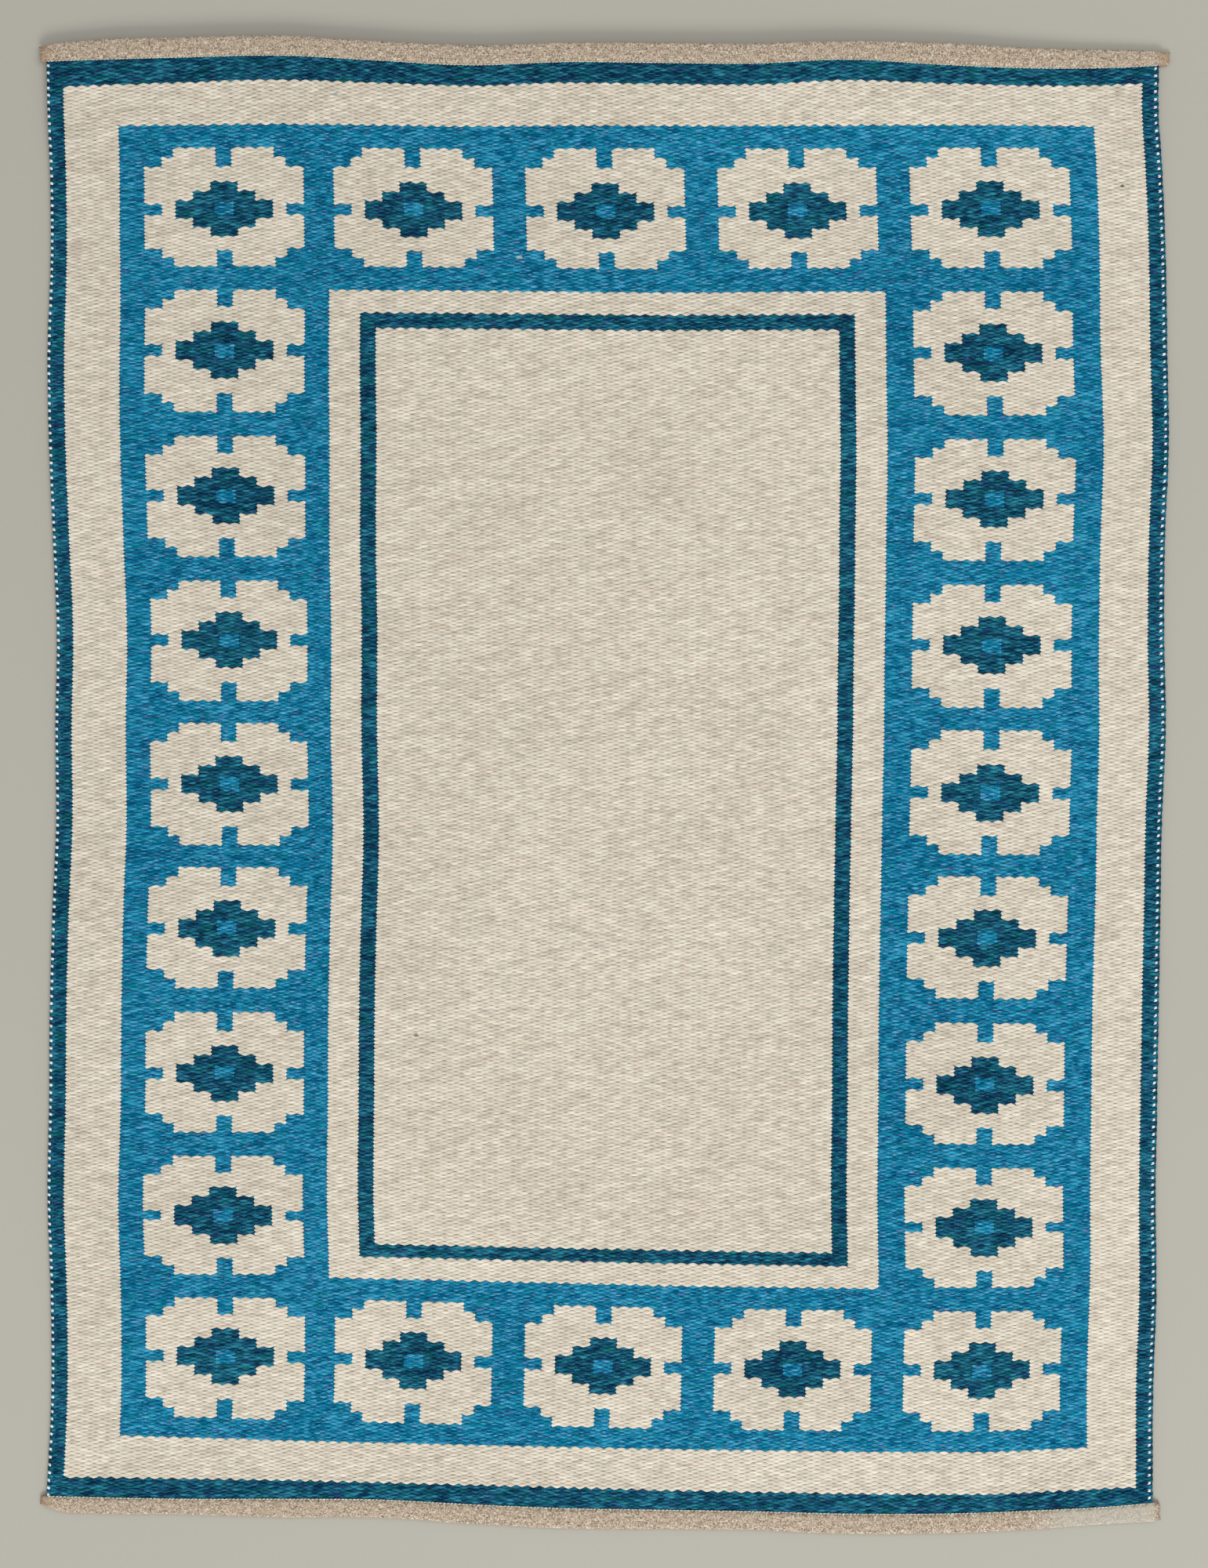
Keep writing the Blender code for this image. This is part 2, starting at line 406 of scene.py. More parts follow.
WARP_SHIFT = (
    (872.0, 0.0, 1.0, 0.0, -2.0, -1.5, 0.0),
    (702.0, 0.0, -2.0, -1.5, -3.0, -1.5, 0.0),
    (572.0, 0.0, 1.5, 1.0, -1.0, -2.5, 0.0),
    (461.0, 0.0, 0.5, 0.5, -1.5, -0.5, 0.0),
    (277.0, 0.0, 0.0, -3.5, -1.0, 0.0, 0.0),
    (95.0, 0.0, 0.0, -4.0, -5.0, -2.5, 0.0),
    (-89.0, 0.0, 0.5, 0.5, -4.0, -0.5, 0.0),
    (-274.0, 0.0, 1.5, 1.0, -3.0, -2.5, 0.0),
    (-458.0, 0.0, 1.5, 2.0, -1.5, -2.0, 0.0),
    (-548.0, 0.0, 0.5, 3.0, -1.0, -1.5, 0.0),
    (-698.0, 0.0, 0.0, 2.0, -1.5, -4.0, 0.0),
    (-860.0, 0.0, 0.0, 1.0, -1.0, -2.0, 0.0),
)
FIRST_COLUMN_EASE_MM = 4.0
FIRST_COLUMN_WARPS = (12.0, 48.0)
FAR_BAND_PICK = 12.0
FAR_BAND_MM = (
    (-652.0, 34.0),
    (-412.0, 32.0),
    (-172.0, 27.5),
    (68.0, 28.0),
    (308.0, 27.5),
    (488.0, 24.0),
    (668.0, 23.0),
)

# How much the picks follow the wave of the far tape's sewn edge: the far band's inner line follows it
# whole and the first row of figures no more
FOLLOW_PICKS = (12.0, 34.0, 78.0)
FOLLOW_SHARES = (1.0, 0.15, 0.0)

# The lines where the colours change, nested from the edge inward: warp from the left, warp from the
# right, pick from the far end, pick from the near end, and the yarn outside them
BANDS = (
    (3, 188, 11.8, 766.2, NAVY),
    (12, 180, 33.8, 744.7, CREAM),
    (48, 143, 123.6, 656.5, BLUE),
    (53, 138, 135.9, 644.3, CREAM),
    (56, 135, 143.5, 637.1, NAVY),
)
FIELD = CREAM

FIGURE_WARPS = (29.5, 62.5, 95.5, 128.5, 161.5)
FIGURE_PICKS = (78.1, 155.9, 233.8, 311.6, 389.5, 467.3, 545.1, 623.0, 700.9)
STEP_PICKS = 2.5
FIGURE_STEPS = 13
SLOT_WARPS = 1.5
FIGURE_HALF = 13.5
NOTCH_WARPS = 3.0
NOTCH_PICKS = 3.0
HEART_PICKS = 3.6

# One quarter of the figure, from its end to its middle: the steps down to which a row goes, half the
# width of its cream, and half the width of its navy heart
FIGURE_ROWS = (
    (2, 8.5, 0.0),
    (4, 10.5, 0.0),
    (7, 13.5, 0.0),
    (9, 13.5, 2.5),
    (11, 13.5, 5.5),
    (12, 13.5, 8.5),
    (13, 13.5, 8.5),
)


def blended(stations, values, at):
    """Reads one value for each place from arrays that stand at a few stations."""
    total = 0.0
    places = np.array(stations)
    for k, value in enumerate(values):
        heights = np.zeros(len(places))
        heights[k] = 1.0
        total = total + value * np.interp(at, places, heights)
    return total


def warp_place(warp, y):
    """Place across the rug of a warp, at a place along it."""
    left = through(SIDES, 1, y)
    right = through(SIDES, 2, y)
    straight = left + (right - left) * warp / WARPS
    turned = np.clip(straight, left + EDGE_TURN_MM, right - EDGE_TURN_MM)
    shifts = [through(WARP_SHIFT, column + 1, y) for column in range(len(SHIFT_WARPS))]
    start, stop = FIRST_COLUMN_WARPS
    inside = soft_step((warp - start) / 4.0) * soft_step((stop - warp) / 5.0)
    return turned + blended(SHIFT_WARPS, shifts, warp) + inside * FIRST_COLUMN_EASE_MM


def weave_place(warp, pick):
    """Place of a point of the weave, from its count of warps and picks."""
    straight = FIRST_PICK_MM - pick * PICK_MM
    x = warp_place(warp, straight)
    shifts = [through(PICK_SHIFT, column + 1, pick) for column in range(len(SHIFT_PLACES))]
    y = straight - blended(SHIFT_PLACES, shifts, x)
    first = [through(PICK_SHIFT, column + 1, FAR_BAND_PICK) for column in range(len(SHIFT_PLACES))]
    band_line = through(FAR_END, 2, x) - through(FAR_BAND_MM, 1, x)
    wave = band_line - (FIRST_PICK_MM - FAR_BAND_PICK * PICK_MM - blended(SHIFT_PLACES, first, x))
    y = y + wave * np.interp(pick, FOLLOW_PICKS, FOLLOW_SHARES)
    return warp_place(warp, y), y


def figure_yarn(warp, pick):
    """The yarn of a stepped figure at a place counted from its middle, or -1 outside it."""
    step = FIGURE_STEPS - np.abs(pick) / STEP_PICKS
    side = np.abs(warp)
    yarn = np.full(warp.shape, -1)
    top = 0
    for bottom, cream, navy in FIGURE_ROWS:
        row = (step >= top) & (step < bottom + (bottom == FIGURE_STEPS))
        yarn[row & (side < cream)] = CREAM
        yarn[row & (side < navy)] = NAVY
        top = bottom
    slot = (step >= 0) & (step < 3.8) & (side < SLOT_WARPS)
    heart = (np.abs(pick) < HEART_PICKS) & (side < SLOT_WARPS)
    notch = (np.abs(pick) < NOTCH_PICKS) & (side > FIGURE_HALF - NOTCH_WARPS) & (side < FIGURE_HALF)
    yarn[slot | heart | notch] = BLUE
    return yarn


def yarn_at(warp, pick):
    """The yarn that lies on the face at a place of the weave."""
    yarn = np.full(warp.shape, FIELD)
    for left, right, far, near, outside in reversed(BANDS):
        yarn[(warp < left) | (warp > right) | (pick < far) | (pick > near)] = outside
    in_blue = yarn == BLUE
    for across in FIGURE_WARPS:
        for along in FIGURE_PICKS:
            if across in FIGURE_WARPS[1:-1] and along in FIGURE_PICKS[1:-1]:
                continue
            figure = figure_yarn(warp - across, pick - along)
            inside = in_blue & (figure >= 0)
            yarn[inside] = figure[inside]
    return yarn


class Stitches:
    """The corners, height shares and triangles of many floats, gathered in warps and picks."""

    def __init__(self):
        self.corners = []
        self.faces = []
        self.floats = []
        self.count = 0

    def add(self, warps, picks, shares, faces, floats):
        """Floats of one kind: a column for each corner, and the corners of each triangle."""
        number, corners = warps.shape
        self.corners.append(np.stack([warps, picks, shares], axis=2).reshape(-1, 3))
        base = self.count + np.arange(number)[:, None, None] * corners
        self.faces.append((np.asarray(faces)[None, :, :] + base).reshape(-1, 3))
        self.floats.append(np.repeat(floats, len(faces)))
        self.count += number * corners


WHOLE_FLOAT = ((0, 3, 4), (0, 4, 2), (2, 4, 5), (3, 5, 4), (1, 2, 5), (1, 5, 3))
PLAIN_FLOAT = ((0, 3, 4), (0, 4, 2), (1, 2, 4), (1, 4, 3))
HALF_FLOAT = ((0, 3, 4), (3, 2, 4), (2, 1, 4), (1, 0, 4))
PLAIN_HALF = ((0, 3, 1), (3, 2, 1))


def columns(*parts):
    return np.stack(np.broadcast_arrays(*parts), axis=1).astype(float)


def add_floats(stitches, warp, pick, ridge):
    """Whole floats centred on lattice points, with a ridge along the yarn where ridge is set."""
    if ridge:
        warps = columns(warp - 1, warp + 1, warp, warp, warp - RIDGE_REACH, warp + RIDGE_REACH)
        picks = columns(pick, pick, pick - 1, pick + 1, pick, pick)
        shares = columns(0.0 * warp, 0.0, TIP_SHARE, TIP_SHARE, 1.0, 1.0)
        stitches.add(warps, picks, shares, WHOLE_FLOAT, pick)
    else:
        warps = columns(warp - 1, warp + 1, warp, warp, warp)
        picks = columns(pick, pick, pick - 1, pick + 1, pick)
        shares = columns(0.0 * warp, 0.0, TIP_SHARE, TIP_SHARE, 1.0)
        stitches.add(warps, picks, shares, PLAIN_FLOAT, pick)


def add_half_floats(stitches, warp, pick, side, tooth, ridge):
    """Half floats to one side of their lattice points, cut where two yarns turn back."""
    warps = [warp, warp + side, warp, warp + tooth]
    picks = [pick - 1, pick, pick + 1, pick]
    shares = [TIP_SHARE + 0.0 * warp, 0.0, TIP_SHARE, SEAM_SHARE if ridge else PLAIN_SEAM_SHARE]
    if ridge:
        warps.append(warp + side * RIDGE_REACH)
        picks.append(pick)
        shares.append(1.0)
    faces = HALF_FLOAT if ridge else PLAIN_HALF
    if side < 0:
        faces = [face[::-1] for face in faces]
    stitches.add(columns(*warps), columns(*picks), columns(*shares), faces, pick)


def face_stitches(strip, yarn, ridge, turned):
    """The floats of one yarn on one face, between two warps."""
    warp, pick = np.meshgrid(np.arange(WARPS + 1), np.arange(1, PICKS))
    whole = (warp + pick) % 2 == 0
    warp = warp[whole].astype(float)
    pick = pick[whole].astype(float)
    shown = pick - PICKS_UNDER_TAPE
    left = yarn_at(warp - YARN_REACH, shown)
    right = yarn_at(warp + YARN_REACH, shown)
    if turned:
        left, right = REVERSE[left], REVERSE[right]
    inside = (warp >= strip[0]) & (warp < strip[1])
    stitches = Stitches()
    both = inside & (left == yarn) & (right == yarn) & (warp > 0) & (warp < WARPS)
    add_floats(stitches, warp[both], pick[both], ridge)
    paler = np.sign(right - left) * TOOTH_REACH
    for side, mine in ((-1, left), (1, right)):
        cut = inside & (mine == yarn) & ~both & (warp + side >= 0) & (warp + side <= WARPS)
        on_edge = (warp == 0) | (warp == WARPS)
        tooth = np.where(on_edge, 0.0, paler)[cut]
        add_half_floats(stitches, warp[cut], pick[cut], side, tooth, ridge)
    return stitches


REVERSE = np.array([BLUE, CREAM, CREAM])


def jitter(warp, pick, channel):
    """An even spread from -1 to 1 that stays the same at the same place of the weave."""
    value = np.sin(warp * 12.9898 + pick * 78.233 + channel * 37.719) * 43758.5453
    return (value - np.floor(value)) * 2.0 - 1.0


def weave_map(strip, warps, picks, float_picks):
    """Places in a square map, with the long strip folded in two so that the yarns keep their width."""
    fold_picks = math.ceil((PICKS + 1) / FOLDS_IN_MAP)
    fold = np.floor(float_picks / fold_picks)
    width = strip[1] - strip[0] + 2 * MARGIN
    u = (fold * width + warps - strip[0] + MARGIN) / (FOLDS_IN_MAP * width)
    v = (picks - fold * fold_picks + MARGIN) / (fold_picks + 2 * MARGIN)
    return np.stack([u, v], axis=1)


def add_weave(name, strip, yarn, face, finish):
    """One piece of weft: a yarn's floats on the upper face (1) or the lower face (-1)."""
    stitches = face_stitches(strip, yarn, ridge=face > 0, turned=face < 0)
    warp, pick, share = np.concatenate(stitches.corners).T
    triangles = np.concatenate(stitches.faces)
    floats = np.concatenate(stitches.floats)
    shown = pick - PICKS_UNDER_TAPE
    loose_warp = warp + LOOSE_WARPS * jitter(warp, pick, 1)
    loose_pick = shown + LOOSE_PICKS * jitter(warp, pick, 2)
    x, y = weave_place(np.clip(loose_warp, 0.0, WARPS), loose_pick)
    hem = hem_share(x, y)
    relief = RELIEF_MM + (HEM_RELIEF_MM - RELIEF_MM) * hem
    loose_height = LOOSE_HEIGHT_MM * share * (1.0 + jitter(warp, pick, 3)) * (1.0 - hem)
    down = relief * (1.0 - share) + loose_height
    low = underside(x, y)
    if face > 0:
        z = low + cloth_thickness(x, y) - down
    else:
        z = low + down
        triangles = triangles[:, ::-1]
    corner = triangles.ravel()
    maps = {
        "OFBake": weave_map(strip, warp[corner], pick[corner], np.repeat(floats, 3)),
        "weave": np.stack([warp[corner], shown[corner]], axis=1),
    }
    piece = add_mesh(name, np.stack([x, y, z], axis=1), triangles, maps)
    piece.data.materials.append(finish)
    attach(piece, "root")
    return piece


# What a wool is told: how far its tone varies by float, along the yarn and over the rug; its pale strand's
# length, width, low and high threshold, strength and colour, the strand kept to each float's ridge as a
# partly painted highlight; the depth of the painted shade at the floats' tips and in the creases between
# them, and that shade's colour; tints as scale, slice of the noise, thresholds, strength and colour; and
# marks as centre, half sizes, strength and colour, in metres.
def wool(name, shades, spread, strands_and_ridge_highlight, painted_valley_shade, tints, marks=()):
    """Hand-spun wool: uneven dyeing, a pale strand kept to each float's ridge as a partly painted
    highlight, painted shade at the tips and creases between floats, twist and fuzz.
    """
    finish = Finish(name)
    place = finish.node("ShaderNodeUVMap", {"uv_map": "weave"})
    warp, pick, _ = finish.parts(place)
    along = warp * WARP_MM
    up = pick * PICK_MM
    half_sum = (warp + pick) * 0.5
    half_difference = (warp - pick) * 0.5
    float_id = finish.node(
        "ShaderNodeCombineXYZ", {}, {0: half_sum.math("ROUND"), 1: half_difference.math("ROUND")}
    )
    chance = finish.node("ShaderNodeTexWhiteNoise", {"noise_dimensions": "3D"}, {"Vector": float_id})
    low_sum = half_sum - half_sum.math("FLOOR") - 0.5
    low_difference = half_difference - half_difference.math("FLOOR") - 0.5
    to_tip = (low_sum + low_difference).math("ABSOLUTE")
    to_crease = (low_sum - low_difference).math("ABSOLUTE")
    tip_shade_mask = to_tip.between(0.42, 0.12) * to_crease.between(0.42, 0.08)
    centre_sum = half_sum - half_sum.math("ROUND")
    centre_difference = half_difference - half_difference.math("ROUND")
    from_middle = (centre_sum + centre_difference).math("ABSOLUTE")
    rim = from_middle + (centre_sum - centre_difference).math("ABSOLUTE")
    crease = rim.between(0.55, 1.0)
    bow = from_middle * from_middle * 1.1
    chance_range, drift_range, age_range = spread
    slanted = up + along * 0.1
    yarn = finish.noise(along / 15.0, (slanted + bow) / 2.0, 3.7, detail=3.0)
    drift = finish.noise(along / 120.0, (up + along * 0.3) / 22.0, 9.1, detail=3.0)
    age = finish.noise(along / 260.0, up / 190.0, 1.3, detail=2.0)
    tone = yarn + (chance - 0.5) * chance_range + (drift - 0.5) * drift_range + (age - 0.5) * age_range
    colour = finish.ramp(tone, shades)
    for scale, slice_at, low, high, strength, tint in tints:
        patch = finish.noise(along / scale[0], slanted / scale[1], slice_at, detail=2.0)
        colour = finish.mix(patch.between(low, high) * strength, colour, (*tint, 1.0))
    # The pale strand is kept to the middle of each float, along its ridge: partly the yarn's pale ply,
    # partly a painted highlight on the float's lit ridge.
    length, width, low, high, strength, pale = strands_and_ridge_highlight
    strand = finish.noise(along / length, (up + bow) / width, chance * 6.0, detail=1.0).between(low, high)
    colour = finish.mix(strand * rim.between(1.0, 0.6) * strength, colour, (*pale, 1.0))
    # Painted shade: the tips of the floats and the creases between them are darkened, in broken patches,
    # for the shade in the dips of the weave.
    dash_shade_depth, crease_shade_depth, dark = painted_valley_shade
    broken = finish.noise(along / 9.0, up / 2.4, 5.5).between(0.3, 0.62)
    shade = (tip_shade_mask * dash_shade_depth + crease * crease_shade_depth).limited() * (0.35 + 0.65 * broken)
    colour = finish.mix(shade, colour, (*dark, 1.0), "MULTIPLY")
    x, y, _ = finish.parts(finish.node("ShaderNodeTexCoord", {}, {}, output="Object"))
    for centre, half, strength, tint in marks:
        from_x = (x - centre[0]) / half[0]
        from_y = (y - centre[1]) / half[1]
        ragged = finish.noise(along / 5.0, up / 2.0, 12.0, detail=2.0)
        reach = (from_x * from_x + from_y * from_y).math("SQRT") + (ragged - 0.5) * 0.9
        colour = finish.mix(reach.between(1.0, 0.45) * strength, colour, (*tint, 1.0))
    twist = finish.noise(along / 5.0, slanted / 0.45, 2.2, detail=3.0)
    fuzz = finish.noise(along / 0.7, up / 0.5, 7.7, detail=2.0)
    height = twist * 0.7 + fuzz * 0.3 - crease * 0.4
    bump = finish.node("ShaderNodeBump", {}, {"Strength": 0.6, "Distance": 0.0005, "Height": height})
    roughness = 0.9 + (twist - 0.5) * 0.14
    finish.feed(Base_Color=colour, Roughness=roughness, Specular_IOR_Level=0.05, Normal=bump)
    return finish.material


cream_wool = wool(
    "cream_wool",
    (
        (0.30, (0.50, 0.450, 0.365)),
        (0.44, (0.60, 0.545, 0.450)),
        (0.55, (0.69, 0.630, 0.525)),
        (0.70, (0.80, 0.745, 0.640)),
    ),
    (0.16, 0.22, 0.16),
    (11.0, 1.5, 0.58, 0.72, 0.35, (0.80, 0.745, 0.64)),
    (0.85, 0.25, (0.55, 0.51, 0.45)),
    (
        ((20.0, 4.0), 21.0, 0.56, 0.70, 0.38, (0.76, 0.59, 0.50)),
        ((24.0, 5.0), 33.0, 0.56, 0.70, 0.34, (0.60, 0.62, 0.45)),
        ((30.0, 6.0), 47.0, 0.60, 0.74, 0.34, (0.55, 0.55, 0.53)),
    ),
    (
        ((-0.675, 0.684), (0.012, 0.015), 0.30, (0.33, 0.24, 0.17)),
        ((0.660, 0.765), (0.0035, 0.0025), 0.85, (0.06, 0.05, 0.045)),
        ((0.540, -0.488), (0.006, 0.006), 0.55, (0.24, 0.17, 0.10)),
        ((-0.241, -0.318), (0.0045, 0.003), 0.75, (0.14, 0.11, 0.08)),
        ((-0.343, 0.880), (0.004, 0.003), 0.60, (0.12, 0.30, 0.32)),
    ),
)
blue_wool = wool(
    "blue_wool",
    (
        (0.32, (0.001, 0.090, 0.185)),
        (0.44, (0.002, 0.150, 0.275)),
        (0.56, (0.006, 0.215, 0.360)),
        (0.70, (0.04, 0.33, 0.51)),
    ),
    (0.26, 0.16, 0.18),
    (11.0, 1.5, 0.56, 0.68, 0.75, (0.13, 0.40, 0.66)),
    (0.9, 0.65, (0.2, 0.38, 0.45)),
    (
        ((30.0, 6.0), 61.0, 0.56, 0.68, 0.60, (0.001, 0.20, 0.235)),
        ((20.0, 2.6), 75.0, 0.60, 0.70, 0.60, (0.16, 0.24, 0.50)),
    ),
    (((-0.109, 0.674), (0.005, 0.003), 0.75, (0.50, 0.52, 0.50)),),
)
navy_wool = wool(
    "navy_wool",
    (
        (0.34, (0.002, 0.026, 0.060)),
        (0.46, (0.005, 0.060, 0.120)),
        (0.56, (0.010, 0.105, 0.180)),
        (0.70, (0.03, 0.24, 0.33)),
    ),
    (0.24, 0.18, 0.2),
    (12.0, 1.6, 0.57, 0.69, 0.6, (0.03, 0.24, 0.34)),
    (0.9, 0.75, (0.15, 0.26, 0.32)),
    (
        ((26.0, 4.5), 83.0, 0.53, 0.65, 0.65, (0.002, 0.12, 0.115)),
        ((24.0, 3.0), 95.0, 0.57, 0.70, 0.60, (0.035, 0.05, 0.18)),
    ),
)
YARNS = (("cream", CREAM, cream_wool), ("blue", BLUE, blue_wool), ("navy", NAVY, navy_wool))
STRIPS = (("left", (0, 56)), ("middle", (56, 136)), ("right", (136, 192)))

for strip_name, strip in STRIPS:
    for yarn_name, yarn, finish in YARNS:
        add_weave(f"face_{yarn_name}_weft_{strip_name}", strip, yarn, 1, finish)


# The back of the cloth: the same weft turned over, as the weave is double. Each figure shows there
# with its light and dark exchanged, cream where the face is dark or blue, and blue where it is cream.
BACK_STRIPS = (("left", (0, 96)), ("right", (96, 192)))
BACK_YARNS = (("blue", BLUE, blue_wool), ("cream", CREAM, cream_wool))

for strip_name, strip in BACK_STRIPS:
    for yarn_name, yarn, finish in BACK_YARNS:
        add_weave(f"back_{yarn_name}_weft_{strip_name}", strip, yarn, -1, finish)


# The selvedges: at each side the two faces' wefts turn round the outermost warp. The navy of the face
# wraps the edge in thick turns, and between them the cream of the back shows as a small pale stitch,
# painted whiter than the cream weft: a painted highlight on the turns.
TURN_PICKS = 4
TURN_START_PICKS = -2.0
TURN_SLANT = 0.35
TURN_SINK = 0.7
TURN_LOOSE_MM = 0.25
TURN_STATIONS = (-1.0, -0.6, 0.0, 0.6, 1.0)
CELLS_IN_MAP = 14

# Half of a turn's length, how far it stands out past the edge at the left and at the right, its lift off
# the cloth, its reach inward as a share of the profile, how round it is and its slant
NAVY_TURN = (4.74, (0.0, 0.0), 0.0, 1.0, 0.9, 0.0)
CREAM_TURN = (1.6, (-0.2, -2.4), 0.5, 0.55, 0.7, 0.9)

TURN_PROFILE = (
    (7.5, 0.80),
    (5.0, 0.95),
    (2.4, 0.98),
    (0.7, 0.82),
    (0.0, 0.50),
    (0.7, 0.18),
    (2.4, 0.02),
    (5.0, 0.05),
    (7.5, 0.20),
)


def add_turns(name, side, shift, turn, finish):
    """The turns of one yarn along one selvedge, each a strip of a few faces wrapped round the edge."""
    half, stand, lift, reach, plump, slant = turn
    proud = stand[0] if side < 0 else stand[1]
    number = (PICKS - PICKS_UNDER_TAPE) // TURN_PICKS
    middle = (np.arange(number) * TURN_PICKS + shift).astype(float) + TURN_START_PICKS
    profile = np.array(TURN_PROFILE)
    station = np.array(TURN_STATIONS)
    pick, k, a = np.meshgrid(middle, np.arange(len(profile)), station, indexing="ij")
    inset = profile[k, 0] * reach
    level = profile[k, 1]
    roundness = np.sqrt(np.clip(1.0 - a * a, 0.0, 1.0))
    loose = TURN_LOOSE_MM * jitter(pick, 1.0 * k + side, 4)
    _, y = weave_place(np.full(pick.shape, 0.0 if side < 0 else float(WARPS)), pick)
    y = y + a * half - slant * (inset - 2.0) * TURN_SLANT + loose * (reach < 1.0)
    sink = plump * (1.0 - roundness)
    x = through(SIDES, 1 if side < 0 else 2, y) - side * (inset + sink + loose - proud)
    middle_height = cloth_thickness(x, y) * 0.5
    height = (level - 0.5) * 2.0 * (middle_height + lift - sink * TURN_SINK)
    z = underside(x, y) + middle_height + height
    points = np.stack([x, y, np.maximum(z, 0.0)], axis=3).reshape(-1, 3)
    rows, stations = len(profile), len(station)
    cell = grid_faces(stations, rows)
    if side > 0:
        cell = cell[:, ::-1]
    faces = (cell[None, :, :] + np.arange(number)[:, None, None] * rows * stations).reshape(-1, 4)
    corner = faces.ravel()
    turn_index = corner // (rows * stations)
    k_at = (corner // stations) % rows
    a_at = station[corner % stations]
    column = turn_index % CELLS_IN_MAP
    row = turn_index // CELLS_IN_MAP
    u = (column + 0.1 + 0.8 * k_at / (rows - 1)) / CELLS_IN_MAP
    v = (row + 0.5 + 0.4 * a_at) / CELLS_IN_MAP
    path = profile * (1.0, CLOTH_MM)
    around = np.cumsum(np.hypot(*np.diff(path, axis=0, prepend=path[:1]).T))
    maps = {
        "OFBake": np.stack([u, v], axis=1),
        "weave": np.stack([around[k_at] / WARP_MM, middle[turn_index] - a_at * half / PICK_MM], axis=1),
    }
    piece = add_mesh(name, points, faces, maps)
    piece.data.materials.append(finish)
    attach(piece, "root")
    return piece


# Painted highlight: the cream turns take a paler, whiter wool than the cream weft they are made of.
highlit_edge_wool = wool(
    "selvedge_wool_painted_highlight",
    ((0.35, (0.62, 0.65, 0.62)), (0.65, (0.84, 0.87, 0.83))),
    (0.2, 0.1, 0.1),
    (11.0, 1.5, 0.6, 0.7, 0.3, (0.88, 0.90, 0.87)),
    (0.2, 0.1, (0.6, 0.62, 0.62)),
    (((20.0, 4.0), 21.0, 0.56, 0.70, 0.38, (0.45, 0.62, 0.64)),),
)
for side_name, side in (("left", -1), ("right", 1)):
    add_turns(f"selvedge_navy_turns_{side_name}", side, 0.0, NAVY_TURN, navy_wool)
    add_turns(f"selvedge_cream_turns_{side_name}", side, 2.0, CREAM_TURN, highlit_edge_wool)


# The binding: a plain linen tape folded over each end of the cloth and sewn through it. It is woven
# finely, darker where it is handled, and its ends run a little past the selvedges, turned in and frayed.
TAPE_COLUMNS = 400
TAPE_ARC_STEPS = 6
TAPE_FLAT_STEPS = 5
LIP_MM = 0.9
RAGGED_MM = 1.6
RAGGED_RUN_MM = 4.0
PUFF_MM = 0.22
STITCH_PULL_MM = 0.35
STITCH_SPACING_MM = 4.8
TAPE_FOLDS_IN_MAP = 12
SKINS_APART_IN_MAP = 60.0


def fold_radius(pinch):
    """Half the gap inside the folded tape, which closes where it runs out past the cloth."""
    around_cloth = HEM_MM / 2.0 + CLEARANCE_MM
    return around_cloth + (LAYERS_APART_MM / 2.0 - around_cloth) * pinch


def tape_lines(end, x):
    """The tape at places across: its sewn edge, its fold's centre, its middle height, the fold's radius."""
    outward = np.sign(end[0][1])
    sewn = through(end, 2, x)
    past = np.maximum(through(SIDES, 1, sewn) - x, x - through(SIDES, 2, sewn))
    pinch = soft_step((past - PINCH_START_MM) / PINCH_RUN_MM)
    radius = fold_radius(pinch)
    centre = through(end, 1, x) - outward * (fold_radius(0.0) + TAPE_MM)
    middle = underside(x, sewn) - CLEARANCE_MM + radius
    return sewn, centre, middle, radius


def tape_profile():
    """Steps round the folded tape: share from the sewn edge to the fold's centre, and the angle there."""
    flat = np.linspace(0.0, 1.0, TAPE_FLAT_STEPS)
    angle = np.linspace(math.pi / 2.0, -math.pi / 2.0, TAPE_ARC_STEPS + 1)[1:-1]
    share = np.concatenate([flat, np.ones(len(angle)), flat[::-1]])
    turn = np.concatenate([np.full(len(flat), math.pi / 2.0), angle, np.full(len(flat), -math.pi / 2.0)])
    return share, turn


